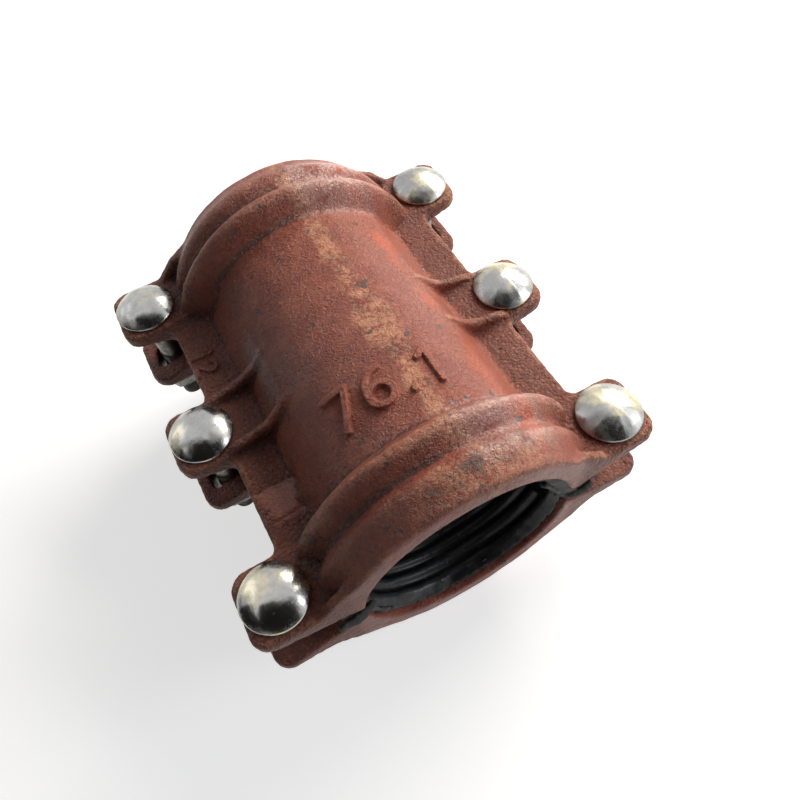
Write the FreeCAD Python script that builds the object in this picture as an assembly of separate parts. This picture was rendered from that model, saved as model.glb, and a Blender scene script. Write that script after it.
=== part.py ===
import FreeCAD, Part
import math
import os

V = FreeCAD.Vector

# Split repair clamp for a leaking pipe, in millimetres. The pipe lies along Y, the two
# cast halves part on the plane z = 0, and the bolt heads are on the upper half.
# The lower half is the same casting as the upper one, turned over about the pipe.

# Pipe and rubber lining
PIPE_RADIUS = 38.05
LINING_WALL = 4.6
LINING_BAND_WALL = 7.0
LINING_END_WALL = 3.0
LINING_RECESS = 2.5
LINING_CLEARANCE = 0.15
FLARE_LENGTH = 4.0
FLARE_DEPTH = 2.4
BAND_LENGTH = 17.5
BAND_FROM_END = 7.0
BAND_RAMP = 1.5
GROOVE_DEPTH = 1.4
GROOVE_WIDTH = 3.9
GROOVE_PITCH = 5.8
GROOVE_SLOPE = 0.55
GROOVE_END_LAND = 1.2
SEAM_LAND = 12.0
SEAM_CLEARANCE = 0.15
LIP_OVERHANG = 3.8

# Casting, upper half
HALF_LENGTH = 82.5
END_LIP_LENGTH = 4.5
SHELL_WALL = 4.2
SHOULDER_ANGLE = 45.0
SIDE_FOOT_INSET = 3.8
# Collar's outer line from its foot to the second crest: distance from the end, height on the barrel
COLLAR_LINE = (
    (31.5, -0.8), (29.6, 2.0), (27.0, 6.6), (24.1, 9.1), (20.0, 7.3), (15.8, 4.3), (13.3, 6.1), (11.1, 6.9),
    (7.0, 5.8))
MOUTH_WALL = 7.1
MOUTH_ROUND = 2.8
MOUTH_SLOPE = 22.0
WEB_THICKNESS = 3.5
WEB_START_ANGLE = 42.0
WEB_KNEE_REACH = 1.0
WEB_KNEE_RISE = 7.3
WEB_TOE_REACH = 9.8
RIM_HEIGHT = 4.45
FLANGE_REACH = 12.2
FLANGE_STEP = 1.7
FLANGE_ROOT_ROUND = 2.2
LUG_UNDERSIDE = 12.5
LUG_THICKNESS = 6.0
LUG_WIDTH = 27.2
LUG_TIP = 12.4
LUG_CORNER = 6.6
LUG_EDGE_ROUND = 1.8
LUG_NOTCH_ROUND = 3.5
LUG_FLAT = 6.4
GUSSET_PLACE = 11.5
GUSSET_THICKNESS = 3.4
# Gusset's top line up the barrel: angle from the crown, height on the barrel
GUSSET_LINE = ((41.0, 0.2), (45.0, 1.0), (53.0, 0.9), (59.5, 2.4), (63.5, 4.7))
GUSSET_BEND_INSET = 14.4
GUSSET_BEND_RISE = 3.3
GUSSET_TIP_INSET = 4.4
GUSSET_EDGE_ROUND = 1.0

# Bolts, nuts and washers
BOLT_FROM_BARREL = 18.4
BOLT_FROM_END = 14.0
BOLT_RADIUS = 4.95
BOLT_LENGTH = 60.0
BOLT_TIP_CHAMFER = 1.2
HEAD_RADIUS = 12.0
HEAD_RIM = 1.2
HEAD_RIM_CHAMFER = 0.4
HEAD_DOME = 5.0
NECK_SIDE = 9.8
NECK_LENGTH = 5.6
NECK_ROUND = 1.0
SLOT_LENGTH = 15.0
SLOT_CLEARANCE = 0.5
SLOT_CORNER = 2.4
WASHER_RADIUS = 10.0
WASHER_THICKNESS = 2.0
WASHER_CLEARANCE = 0.4
NUT_ACROSS_FLATS = 17.0
NUT_HEIGHT = 8.0
NUT_CLEARANCE = 0.08
NUT_FACE_SHARE = 0.96
NUT_CHAMFER_ANGLE = 30.0
NUT_MOUTH = 0.6

# Worked out from the sizes above
LINING_HALF_LENGTH = HALF_LENGTH - LINING_RECESS
BAND_END = HALF_LENGTH - BAND_FROM_END
BAND_START = BAND_END - BAND_LENGTH
BOLT_PITCH = HALF_LENGTH - BOLT_FROM_END
BARREL_BORE = PIPE_RADIUS + LINING_WALL + LINING_CLEARANCE
BAND_BORE = PIPE_RADIUS + LINING_BAND_WALL + LINING_CLEARANCE
MOUTH_BORE = PIPE_RADIUS + LINING_END_WALL + LINING_CLEARANCE
BARREL_RADIUS = BARREL_BORE + SHELL_WALL
MOUTH_RADIUS = MOUTH_BORE + MOUTH_WALL
LIP_REACH = BARREL_RADIUS + LIP_OVERHANG
BOLT_X = BARREL_RADIUS + BOLT_FROM_BARREL
FLANGE_EDGE = BARREL_RADIUS + FLANGE_REACH
LUG_TOP = LUG_UNDERSIDE + LUG_THICKNESS
FLANGE_TOP = LUG_TOP - FLANGE_STEP
LUG_REACH = BOLT_X + LUG_TIP
SLOT_WIDTH = NECK_SIDE + 2 * SLOT_CLEARANCE
FAR = 2 * (LUG_REACH + HALF_LENGTH)
PAST = 1.0
SMALL = 0.01

SIDES = (("left", -1), ("right", 1))
ROWS = (("front", -1), ("middle", 0), ("back", 1))


def wire_of(edges):
    return Part.Wire(Part.__sortEdges__(edges))


def corner_arc(before, corner, after, radius):
    """Start, middle and end of the arc that rounds a corner."""
    to_last = (before - corner).normalize()
    to_next = (after - corner).normalize()
    half = to_last.getAngle(to_next) / 2
    reach = radius / math.tan(half)
    bisector = (to_last + to_next).normalize()
    centre = corner + bisector * (radius / math.sin(half))
    return corner + to_last * reach, centre - bisector * radius, corner + to_next * reach


def rounded_outline(corners):
    """Closed wire in a plane: each corner is (point, radius), a radius of 0 keeps it sharp."""
    edges = []
    ends = []
    count = len(corners)
    for i in range(count):
        point, radius = corners[i]
        if radius == 0:
            ends.append((point, None, point))
            continue
        ends.append(corner_arc(corners[i - 1][0], point, corners[(i + 1) % count][0], radius))
    for i in range(count):
        start, middle, end = ends[i]
        following = ends[(i + 1) % count][0]
        if middle is not None:
            edges.append(Part.Arc(start, middle, end).toShape())
        if end.distanceToPoint(following) > SMALL:
            edges.append(Part.LineSegment(end, following).toShape())
    return wire_of(edges)


def prism(wire, direction):
    return Part.Face(wire).extrude(direction)


def turned(profile):
    """Full turn about the pipe's axis of a closed list of (y, radius) corners."""
    points = [V(radius, y, 0) for y, radius in profile]
    face = Part.Face(Part.makePolygon(points + points[:1]))
    return face.revolve(V(0, 0, 0), V(0, 1, 0), 360)


def spun(profile):
    """Full turn about the Z axis of a closed list of (radius, z) corners."""
    points = [V(radius, 0, z) for radius, z in profile]
    face = Part.Face(Part.makePolygon(points + points[:1]))
    return face.revolve(V(0, 0, 0), V(0, 0, 1), 360)


def on_barrel(angle, height):
    """Point in the section plane at an angle from the crown, so far outside the barrel's arc."""
    turn = math.radians(angle)
    radius = BARREL_RADIUS + height
    return V(radius * math.sin(turn), 0, radius * math.cos(turn))


def collars():
    """The double ridge at each end as two solids of revolution."""
    slope = math.radians(MOUTH_SLOPE)
    half_turn = (slope + math.pi / 2) / 2
    round_y = HALF_LENGTH - MOUTH_ROUND

    def on_round(angle):
        return V(MOUTH_RADIUS + MOUTH_ROUND * math.cos(angle), round_y + MOUTH_ROUND * math.sin(angle), 0)

    shoulder = on_round(slope)
    lip = on_round(math.pi / 2)
    points = [V(BARREL_RADIUS + height, HALF_LENGTH - from_end, 0) for from_end, height in COLLAR_LINE]
    start = points[0]
    curve = Part.BSplineCurve()
    curve.interpolate(Points=points + [shoulder])
    edges = [
        Part.LineSegment(V(0, start.y, 0), start).toShape(),
        curve.toShape(),
        Part.Arc(shoulder, on_round(half_turn), lip).toShape(),
        Part.LineSegment(lip, V(0, HALF_LENGTH, 0)).toShape(),
        Part.LineSegment(V(0, HALF_LENGTH, 0), V(0, start.y, 0)).toShape(),
    ]
    back = Part.Face(wire_of(edges)).revolve(V(0, 0, 0), V(0, 1, 0), 360)
    return [back, back.mirror(V(0, 0, 0), V(0, 1, 0))]


def inner_form():
    """What the rubber fills: barrel bore, a wider seat for each sealing band, narrower mouths."""
    lip_y = HALF_LENGTH - END_LIP_LENGTH
    half = [
        (BAND_START, BARREL_BORE),
        (BAND_START + BAND_RAMP, BAND_BORE),
        (BAND_END - BAND_RAMP, BAND_BORE),
        (BAND_END, BARREL_BORE),
        (lip_y, BARREL_BORE),
        (lip_y, MOUTH_BORE),
        (HALF_LENGTH + PAST, MOUTH_BORE),
    ]
    mirrored = [(-y, radius) for y, radius in reversed(half)]
    return turned([(-HALF_LENGTH - PAST, 0)] + mirrored + half + [(HALF_LENGTH + PAST, 0)])


def above_underside():
    """Everything above the casting's underside, which falls from the lugs to the rim."""
    flat_x = BOLT_X + LUG_FLAT
    section = [
        (-FAR, LUG_UNDERSIDE), (-flat_x, LUG_UNDERSIDE), (-MOUTH_BORE, RIM_HEIGHT),
        (MOUTH_BORE, RIM_HEIGHT), (flat_x, LUG_UNDERSIDE), (FAR, LUG_UNDERSIDE), (FAR, FAR), (-FAR, FAR),
    ]
    outline = [V(x, -FAR, z) for x, z in section]
    return prism(Part.makePolygon(outline + outline[:1]), V(0, 2 * FAR, 0))


def barrel_and_flanges():
    """Barrel with straight sides below its shoulders and a flange plate at each foot, run along the pipe."""
    shoulder = on_barrel(SHOULDER_ANGLE, 0)
    foot = V(BARREL_RADIUS - SIDE_FOOT_INSET, 0, FLANGE_TOP)
    edge_top = V(FLANGE_EDGE, 0, FLANGE_TOP)
    root = corner_arc(shoulder, foot, edge_top, FLANGE_ROOT_ROUND)
    edges = [Part.Arc(V(-shoulder.x, 0, shoulder.z), V(0, 0, BARREL_RADIUS), shoulder).toShape()]
    for side in (-1, 1):
        start, middle, end = (V(side * p.x, 0, p.z) for p in root)
        top = V(side * edge_top.x, 0, edge_top.z)
        edges.append(Part.LineSegment(V(side * shoulder.x, 0, shoulder.z), start).toShape())
        edges.append(Part.Arc(start, middle, end).toShape())
        edges.append(Part.LineSegment(end, top).toShape())
        edges.append(Part.LineSegment(top, V(top.x, 0, 0)).toShape())
    edges.append(Part.LineSegment(V(FLANGE_EDGE, 0, 0), V(-FLANGE_EDGE, 0, 0)).toShape())
    face = Part.Face(wire_of(edges))
    face.translate(V(0, -HALF_LENGTH + LUG_EDGE_ROUND, 0))
    return face.extrude(V(0, 2 * (HALF_LENGTH - LUG_EDGE_ROUND), 0))


def lug_range(row):
    """Lowest and highest y of a lug; an end lug runs out to the casting's end face."""
    low = row * BOLT_PITCH - LUG_WIDTH / 2
    high = row * BOLT_PITCH + LUG_WIDTH / 2
    if row < 0:
        low = -HALF_LENGTH
    if row > 0:
        high = HALF_LENGTH
    return low, high


def lug(side, row):
    """One lug with round corners and a softened top edge."""
    low, high = lug_range(row)
    root = BARREL_BORE
    outline = rounded_outline([
        (V(side * root, low, 0), 0), (V(side * LUG_REACH, low, 0), LUG_CORNER),
        (V(side * LUG_REACH, high, 0), LUG_CORNER), (V(side * root, high, 0), 0),
    ])
    block = prism(outline, V(0, 0, LUG_TOP))
    top_edges = []
    for edge in block.Edges:
        box = edge.BoundBox
        on_top = box.ZMin > LUG_TOP - SMALL
        at_root = abs(abs(edge.CenterOfMass.x) - root) < SMALL
        if on_top and not at_root:
            top_edges.append(edge)
    return block.makeFillet(LUG_EDGE_ROUND, top_edges)


def notch_fillets(side):
    """Concave corners in plan where the flange edge meets the lugs."""
    pieces = []
    size = LUG_NOTCH_ROUND
    for _, row in ROWS:
        low, high = lug_range(row)
        for y, way in ((low, -1), (high, 1)):
            if abs(y) > HALF_LENGTH - SMALL:
                continue
            corner = V(side * FLANGE_EDGE, y, 0)
            along = V(side * FLANGE_EDGE, y + way * size, 0)
            out = V(side * (FLANGE_EDGE + size), y, 0)
            centre = V(side * (FLANGE_EDGE + size), y + way * size, 0)
            middle = centre + (corner - centre).normalize() * size
            wire = wire_of([
                Part.LineSegment(along, corner).toShape(), Part.LineSegment(corner, out).toShape(),
                Part.Arc(out, middle, along).toShape(),
            ])
            pieces.append(prism(wire, V(0, 0, FLANGE_TOP)))
    return pieces


def end_web(side, way):
    """Flat web in the end face, from the collar down to the top of an end lug."""
    start = on_barrel(WEB_START_ANGLE, MOUTH_RADIUS - BARREL_RADIUS)
    knee_x, toe_x = BARREL_RADIUS + WEB_KNEE_REACH, BARREL_RADIUS + WEB_TOE_REACH
    section = [
        (start.x, start.z), (knee_x, LUG_TOP + WEB_KNEE_RISE), (toe_x, LUG_TOP - LUG_EDGE_ROUND),
        (toe_x, LUG_UNDERSIDE), (start.x, LUG_UNDERSIDE),
    ]
    outline = [V(side * x, way * HALF_LENGTH, z) for x, z in section]
    return prism(Part.makePolygon(outline + outline[:1]), V(0, -way * WEB_THICKNESS, 0))


def gusset(side, y):
    """Thin web from a middle lug up the barrel's side, with a hollow top line."""
    tip_x = BOLT_X - GUSSET_TIP_INSET
    line = [on_barrel(angle, height) for angle, height in GUSSET_LINE]
    line.append(V(BOLT_X - GUSSET_BEND_INSET, 0, LUG_TOP + GUSSET_BEND_RISE))
    line.append(V(tip_x, 0, LUG_TOP - LUG_EDGE_ROUND / 2))
    line = [V(side * p.x, y - GUSSET_THICKNESS / 2, p.z) for p in line]
    curve = Part.BSplineCurve()
    curve.interpolate(Points=line)
    high, tip = line[0], line[-1]
    heel = V(tip.x, tip.y, LUG_UNDERSIDE)
    inside = V(high.x, high.y, LUG_UNDERSIDE)
    wire = wire_of([
        curve.toShape(), Part.LineSegment(tip, heel).toShape(),
        Part.LineSegment(heel, inside).toShape(), Part.LineSegment(inside, high).toShape(),
    ])
    web = prism(wire, V(0, GUSSET_THICKNESS, 0))
    ridge = [edge for edge in web.Edges if edge.Curve.TypeId == "Part::GeomBSplineCurve"]
    return web.makeFillet(GUSSET_EDGE_ROUND, ridge)


def bolt_slot(side, row):
    """Oblong hole of a lug, as wide as the bolt's square neck needs."""
    x, y = side * BOLT_X, row * BOLT_PITCH
    a, b = SLOT_LENGTH / 2, SLOT_WIDTH / 2
    outline = rounded_outline([
        (V(x - a, y - b, 0), SLOT_CORNER), (V(x + a, y - b, 0), SLOT_CORNER),
        (V(x + a, y + b, 0), SLOT_CORNER), (V(x - a, y + b, 0), SLOT_CORNER),
    ])
    return prism(outline, V(0, 0, FAR))


def casting():
    parts = collars()
    for _, side in SIDES:
        parts += [lug(side, row) for _, row in ROWS]
        parts += notch_fillets(side)
        parts += [gusset(side, way * GUSSET_PLACE) for way in (-1, 1)]
        parts += [end_web(side, way) for way in (-1, 1)]
    body = barrel_and_flanges().multiFuse(parts)
    body = body.common(above_underside())
    body = body.cut(inner_form())
    for _, side in SIDES:
        for _, row in ROWS:
            body = body.cut(bolt_slot(side, row))
    return body.removeSplitter()


def lining_outside():
    lip_y = HALF_LENGTH - END_LIP_LENGTH
    barrel = BARREL_BORE - LINING_CLEARANCE
    band = BAND_BORE - LINING_CLEARANCE
    mouth = MOUTH_BORE - LINING_CLEARANCE
    half = [
        (BAND_START + LINING_CLEARANCE, barrel),
        (BAND_START + BAND_RAMP + LINING_CLEARANCE, band),
        (BAND_END - BAND_RAMP - LINING_CLEARANCE, band),
        (BAND_END - LINING_CLEARANCE, barrel),
        (lip_y - LINING_CLEARANCE, barrel),
        (lip_y - LINING_CLEARANCE, mouth),
        (LINING_HALF_LENGTH, mouth),
    ]
    mirrored = [(-y, radius) for y, radius in reversed(half)]
    return turned([(-LINING_HALF_LENGTH, 0)] + mirrored + half + [(LINING_HALF_LENGTH, 0)])


def lining_bore():
    """Rib crests at the pipe's radius, flared at both mouths."""
    flare_y = LINING_HALF_LENGTH - FLARE_LENGTH
    end = LINING_HALF_LENGTH
    flared = PIPE_RADIUS + FLARE_DEPTH
    past = end + PAST
    return turned([
        (-past, 0), (-past, flared), (-end, flared), (-flare_y, PIPE_RADIUS),
        (flare_y, PIPE_RADIUS), (end, flared), (past, flared), (past, 0),
    ])


def lining_grooves():
    """Grooves between the ribs; they stop short of the seam."""
    clear_length = 2 * (LINING_HALF_LENGTH - FLARE_LENGTH - GROOVE_END_LAND)
    count = int((clear_length - GROOVE_WIDTH) // GROOVE_PITCH) + 1
    deep = PIPE_RADIUS + GROOVE_DEPTH
    rings = []
    for i in range(count):
        y = (i - (count - 1) / 2) * GROOVE_PITCH
        low, high = y - GROOVE_WIDTH / 2, y + GROOVE_WIDTH / 2
        rings.append(turned([
            (low, PIPE_RADIUS - PAST), (low, PIPE_RADIUS), (low + GROOVE_SLOPE, deep),
            (high - GROOVE_SLOPE, deep), (high, PIPE_RADIUS), (high, PIPE_RADIUS - PAST),
        ]))
    window = Part.makeBox(2 * FAR, 2 * FAR, FAR, V(-FAR, -FAR, SEAM_LAND))
    return Part.makeCompound(rings).common(window)


def lining():
    above_seam = Part.makeBox(2 * FAR, 2 * FAR, FAR, V(-FAR, -FAR, SEAM_CLEARANCE))
    sleeve = lining_outside().common(above_seam)
    lip_top = RIM_HEIGHT - LINING_CLEARANCE
    lip = Part.makeBox(
        2 * LIP_REACH, 2 * LINING_HALF_LENGTH, lip_top - SEAM_CLEARANCE,
        V(-LIP_REACH, -LINING_HALF_LENGTH, SEAM_CLEARANCE))
    body = sleeve.fuse(lip).cut(lining_bore())
    return body.cut(lining_grooves()).removeSplitter()


def carriage_bolt():
    """Domed head on a square neck and a round shank, standing on z = 0 under the head."""
    top = HEAD_RIM + HEAD_DOME
    sphere = (HEAD_RADIUS ** 2 + HEAD_DOME ** 2) / (2 * HEAD_DOME)
    half = math.asin(HEAD_RADIUS / sphere) / 2
    on_dome = V(sphere * math.sin(half), 0, top - sphere * (1 - math.cos(half)))
    rim_top = V(HEAD_RADIUS, 0, HEAD_RIM)
    tip = -BOLT_LENGTH
    corners = [
        V(HEAD_RADIUS, 0, HEAD_RIM_CHAMFER), V(HEAD_RADIUS - HEAD_RIM_CHAMFER, 0, 0), V(BOLT_RADIUS, 0, 0),
        V(BOLT_RADIUS, 0, tip + BOLT_TIP_CHAMFER), V(BOLT_RADIUS - BOLT_TIP_CHAMFER, 0, tip),
        V(0, 0, tip), V(0, 0, top),
    ]
    edges = [Part.Arc(V(0, 0, top), on_dome, rim_top).toShape()]
    for a, b in zip([rim_top] + corners[:-1], corners):
        edges.append(Part.LineSegment(a, b).toShape())
    body = Part.Face(wire_of(edges)).revolve(V(0, 0, 0), V(0, 0, 1), 360)
    h = NECK_SIDE / 2
    neck = prism(rounded_outline([
        (V(-h, -h, 0), NECK_ROUND), (V(h, -h, 0), NECK_ROUND),
        (V(h, h, 0), NECK_ROUND), (V(-h, h, 0), NECK_ROUND),
    ]), V(0, 0, -NECK_LENGTH))
    return body.fuse(neck).removeSplitter()


def washer():
    """Flat washer hanging from z = 0."""
    hole_radius = BOLT_RADIUS + WASHER_CLEARANCE
    under = V(0, 0, -WASHER_THICKNESS)
    return Part.makeCylinder(WASHER_RADIUS, WASHER_THICKNESS, under).cut(
        Part.makeCylinder(hole_radius, WASHER_THICKNESS, under))


def hex_nut():
    """Hexagon nut hanging from z = 0, with both faces chamfered and its bore countersunk."""
    corner = NUT_ACROSS_FLATS / 2 / math.cos(math.pi / 6)
    points = [V(corner * math.cos(i * math.pi / 3), corner * math.sin(i * math.pi / 3), 0) for i in range(6)]
    block = prism(Part.makePolygon(points + points[:1]), V(0, 0, -NUT_HEIGHT))
    face_radius = NUT_FACE_SHARE * NUT_ACROSS_FLATS / 2
    wide = corner + PAST
    drop = (wide - face_radius) * math.tan(math.radians(NUT_CHAMFER_ANGLE))
    envelope = spun([
        (0, 0), (face_radius, 0), (wide, -drop),
        (wide, drop - NUT_HEIGHT), (face_radius, -NUT_HEIGHT), (0, -NUT_HEIGHT),
    ])
    bore_radius = BOLT_RADIUS + NUT_CLEARANCE
    mouth_radius = bore_radius + NUT_MOUTH
    bore = spun([
        (0, 0), (mouth_radius, 0), (bore_radius, -NUT_MOUTH),
        (bore_radius, NUT_MOUTH - NUT_HEIGHT), (mouth_radius, -NUT_HEIGHT), (0, -NUT_HEIGHT),
    ])
    return block.common(envelope).cut(bore)


def one_solid(shape):
    """A sub-part's only solid, out of the group that a cut or a fusion leaves it in."""
    return shape.Solids[0] if len(shape.Solids) == 1 else shape


def turned_over(shape):
    other = shape.copy()
    other.rotate(V(0, 0, 0), V(0, 1, 0), 180)
    return other


def build():
    nodes = {}
    upper = casting()
    nodes["upper_shell"] = upper
    nodes["lower_shell"] = turned_over(upper)
    upper_lining = lining()
    nodes["upper_gasket"] = upper_lining
    nodes["lower_gasket"] = turned_over(upper_lining)
    bolt, ring, nut = carriage_bolt(), washer(), hex_nut()
    for side_name, side in SIDES:
        for row_name, row in ROWS:
            x, y = side * BOLT_X, row * BOLT_PITCH
            place = row_name + "_" + side_name
            nodes["carriage_bolt_" + place] = bolt.translated(V(x, y, LUG_TOP))
            nodes["washer_" + place] = ring.translated(V(x, y, -LUG_TOP))
            nodes["hex_nut_" + place] = nut.translated(V(x, y, -LUG_TOP - WASHER_THICKNESS))
    return {name: one_solid(shape) for name, shape in nodes.items()}


os.makedirs("parts", exist_ok=True)
for node, shape in build().items():
    shape.exportStep("parts/" + node + ".step")
    print(node, "solids", len(shape.Solids), "valid", shape.isValid(), "volume", round(shape.Volume, 1))
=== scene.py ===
import math
from collections import namedtuple

import bmesh
import bpy
import numpy as np
from mathutils import Euler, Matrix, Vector, noise


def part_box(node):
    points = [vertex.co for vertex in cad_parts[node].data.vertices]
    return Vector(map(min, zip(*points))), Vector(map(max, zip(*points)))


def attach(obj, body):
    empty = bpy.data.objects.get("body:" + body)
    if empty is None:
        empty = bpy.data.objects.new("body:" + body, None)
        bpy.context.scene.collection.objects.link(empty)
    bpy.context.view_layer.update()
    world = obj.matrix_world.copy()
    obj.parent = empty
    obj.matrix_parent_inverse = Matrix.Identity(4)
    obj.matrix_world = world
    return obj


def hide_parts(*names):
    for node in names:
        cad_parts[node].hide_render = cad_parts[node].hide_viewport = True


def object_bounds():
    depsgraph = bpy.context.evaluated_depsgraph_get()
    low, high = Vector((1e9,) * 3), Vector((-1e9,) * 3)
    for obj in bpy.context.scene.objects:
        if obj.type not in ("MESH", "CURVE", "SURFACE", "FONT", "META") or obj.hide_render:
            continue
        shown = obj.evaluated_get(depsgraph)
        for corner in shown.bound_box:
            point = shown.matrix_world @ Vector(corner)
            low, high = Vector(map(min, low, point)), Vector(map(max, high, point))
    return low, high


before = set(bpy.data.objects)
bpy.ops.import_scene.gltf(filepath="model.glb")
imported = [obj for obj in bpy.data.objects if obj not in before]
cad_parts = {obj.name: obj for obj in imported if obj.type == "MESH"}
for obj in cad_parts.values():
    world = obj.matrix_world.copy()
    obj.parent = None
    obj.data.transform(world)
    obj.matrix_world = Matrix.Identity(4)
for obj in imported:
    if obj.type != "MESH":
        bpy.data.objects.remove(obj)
cad_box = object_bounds()

# Lengths are metres in the part's own frame: the pipe lies along Y, the halves part at z = 0.
# Colours are linear light.
MM = 0.001
WELD = 0.001 * MM

# Camera, fitted to the photograph
CAMERA_PLACE = (-0.04215, -0.14431, 0.23424)
CAMERA_TURN = (30.417, 4.356, -28.662)
SENSOR_WIDTH = 36.0
LENS = 30.519
NEAREST_SEEN = 0.01

# Castings
VOXEL = 0.78 * MM
SOFTEN_ROUNDS = 2
MOST_TRIANGLES = 192000
BARREL_RADIUS = 47.0 * MM
BORE_RADIUS = 46.0 * MM
BORE_FACING = 0.1
FLANGE_TOP = 16.8 * MM
FLANGE_FROM_X = 44.0 * MM
# Waves of the sand-cast skin: size, height, seed
WAVES = ((11.0 * MM, 0.22 * MM, 3.0), (4.2 * MM, 0.11 * MM, 17.0))
LEATHER_FROM = 0.88
LEATHER_FULL = 1.02
LEATHER_SIZE = 1.9 * MM
LEATHER_HEIGHT = 0.20 * MM
LEATHER_SEED = 41
CREST_ROUNDS = 38
CREST_FULL = 0.45 * MM
PROUD_LIMIT = 1.5
NUMERAL_PROUD = 0.5

# A smooth run of thick primer on the left flange, by the front lug
RUN_PLACE = (-50.0 * MM, -38.5 * MM)
RUN_RADIUS = 7.5 * MM
RUN_EDGE = 2.0 * MM
RUN_HEIGHT = 0.8 * MM
RUN_WAVE = 6.0 * MM
RUN_RAGGED = 2.5 * MM
RUN_SEED = 77

# Rubber lining
LINING_VOXEL = 0.8 * MM
LINING_SOFTEN_ROUNDS = 1
LINING_CREST_ROUNDS = 10
LINING_CREST_FULL = 0.25 * MM
LINING_END = 80.0 * MM
MOUTH_FROM = LINING_END - 9 * MM
MOUTH_FULL = LINING_END - 1 * MM
LINING_UNEVEN = 0.35 * MM
LINING_WAVE = 5.0 * MM
LINING_SEED = 61
LINING_TRIANGLES = 120000

# Torn bits of the lining's seam: line, half width and thickness in mm; across is only a direction
Torn = namedtuple("Torn", "name body line across half_width thickness seed")
TORN_RUBBER = (
    Torn("torn_flap", "upper_half",
         ((26.5, -79.2, 29.5), (33.0, -79.8, 22.0), (38.0, -80.4, 12.5), (40.2, -81.0, 3.0)),
         (-0.9, 0.3, -0.3), 3.6, 1.5, 3.0),
    Torn("torn_flap_edge", "upper_half",
         ((30.0, -79.0, 18.0), (35.5, -80.0, 9.0), (38.6, -80.8, 1.5), (41.5, -81.2, -1.0)),
         (-0.6, 0.7, -0.2), 1.3, 1.6, 8.0),
    Torn("torn_lip_right", "upper_half",
         ((40.5, -80.8, 0.2), (44.5, -82.2, -0.6), (48.5, -82.6, 0.4), (51.5, -82.0, 1.0)),
         (0.0, 0.5, 1.0), 1.7, 1.8, 12.0),
    Torn("torn_lip_left", "upper_half",
         ((-37.5, -80.6, 0.6), (-42.5, -82.2, -0.4), (-48.0, -82.8, -0.6), (-52.5, -82.4, 0.0)),
         (0.0, 0.4, 1.0), 2.0, 1.6, 21.0),
    Torn("torn_rim_left", "lower_half",
         ((-40.0, -80.3, -2.0), (-38.5, -80.6, -8.0), (-36.0, -80.7, -14.0), (-33.0, -80.5, -19.0)),
         (1.0, 0.2, 0.3), 1.1, 1.2, 30.0),
)
TORN_SECTION = 14
TORN_CORNER_CUTS = 4
TORN_SHIFT = 0.7 * MM
TORN_SQUARENESS = 0.6
TORN_BLUNT_END = 0.15
# How uneven the strips are: in width, slow and fast, in thickness and round the section
TORN_WIDTH_WAVES = (0.5, 0.3)
TORN_THICKNESS_WAVE = 0.4
TORN_SECTION_WAVE = 0.25

# Raised marks: text, height, half a stroke's width, rise, soft edge, margin round the cell
Mark = namedtuple("Mark", "text height stroke rise edge margin")
CROWN_MARK = Mark("76.1", 15.0 * MM, 1.25 * MM, 1.3 * MM, 0.7 * MM, 2.0 * MM)
CROWN_MARK_ACROSS = -25.0 * MM
CROWN_MARK_Y = -40.0 * MM
CROWN_MARK_DEPTH = 1.5 * MM
CROWN_MARK_FROM_Z = BARREL_RADIUS * 0.6
FLANGE_MARK = Mark("12", 8.5 * MM, 0.75 * MM, 0.9 * MM, 0.5 * MM, 1.0 * MM)
FLANGE_MARK_X = -57.6 * MM
FLANGE_MARK_Y = 37.0 * MM
FLANGE_MARK_FROM_Z = FLANGE_TOP - 1.2 * MM
FLANGE_MARK_TO_Z = FLANGE_TOP + 0.8 * MM
LETTER_GAP = 0.27
LETTER_WIDTH = 1.14
FINER_CUTS = 2

# Bolts
HEAD_RADIUS = 12.0 * MM
HEAD_RIM = 1.2 * MM
HEAD_DOME = 5.0 * MM
HEAD_SEGMENTS = 96
HEAD_STEPS = 26
# Underside and rim of the head, radius and level in mm
RIM_PROFILE = ((4.0, 0), (11.2, 0), (11.55, 0.05), (11.8, 0.2), (11.95, 0.45), (12.0, 0.8))
HEAD_FACET_RIGHT = 0.18 * MM
HEAD_FACET_LEFT = 0.04 * MM
HEAD_FACETS = 11
DENT_SCALE = 170
DENT_DEPTH = 0.10 * MM
FINE_DENT_DEPTH = 0.035 * MM
NECK_SIDE = 9.8 * MM
NECK_LENGTH = 5.6 * MM
NECK_ROUND = 1.0 * MM
NECK_CORNER_STEPS = 5
NECK_TAPER = 0.5 * MM
NECK_END_SHARE = 0.93
SHANK_RADIUS = 4.95 * MM
PLAIN_SHARE = 0.93
SHANK_SEGMENTS = 28
BOLT_LENGTH = 60.0 * MM
THREAD_LENGTH = 32.0 * MM
THREAD_PITCH = 1.5 * MM
THREAD_DEPTH = 0.9 * MM
THREAD_FLANK = 2.5
THREAD_CREST = 0.15
RINGS_PER_PITCH = 8
TIP_CHAMFER = 1.2 * MM
LUG_TOP = 18.5 * MM

# Places on the primer
CROWN_DUST_X = 7.0 * MM
CROWN_DUST_WIDE_Y = -8.0 * MM
FRONT_DUST_X = 9.0 * MM
FRONT_DUST_Y = -76.0 * MM
STRIP_X = 30.5 * MM
# Place of the grey patch on the left shoulder: partly worn primer, partly a painted reflection of glare
LEFT_GREY_X = -36.5 * MM
LEFT_GREY_Y = 7.0 * MM
WOBBLE = 14.0 * MM

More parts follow.
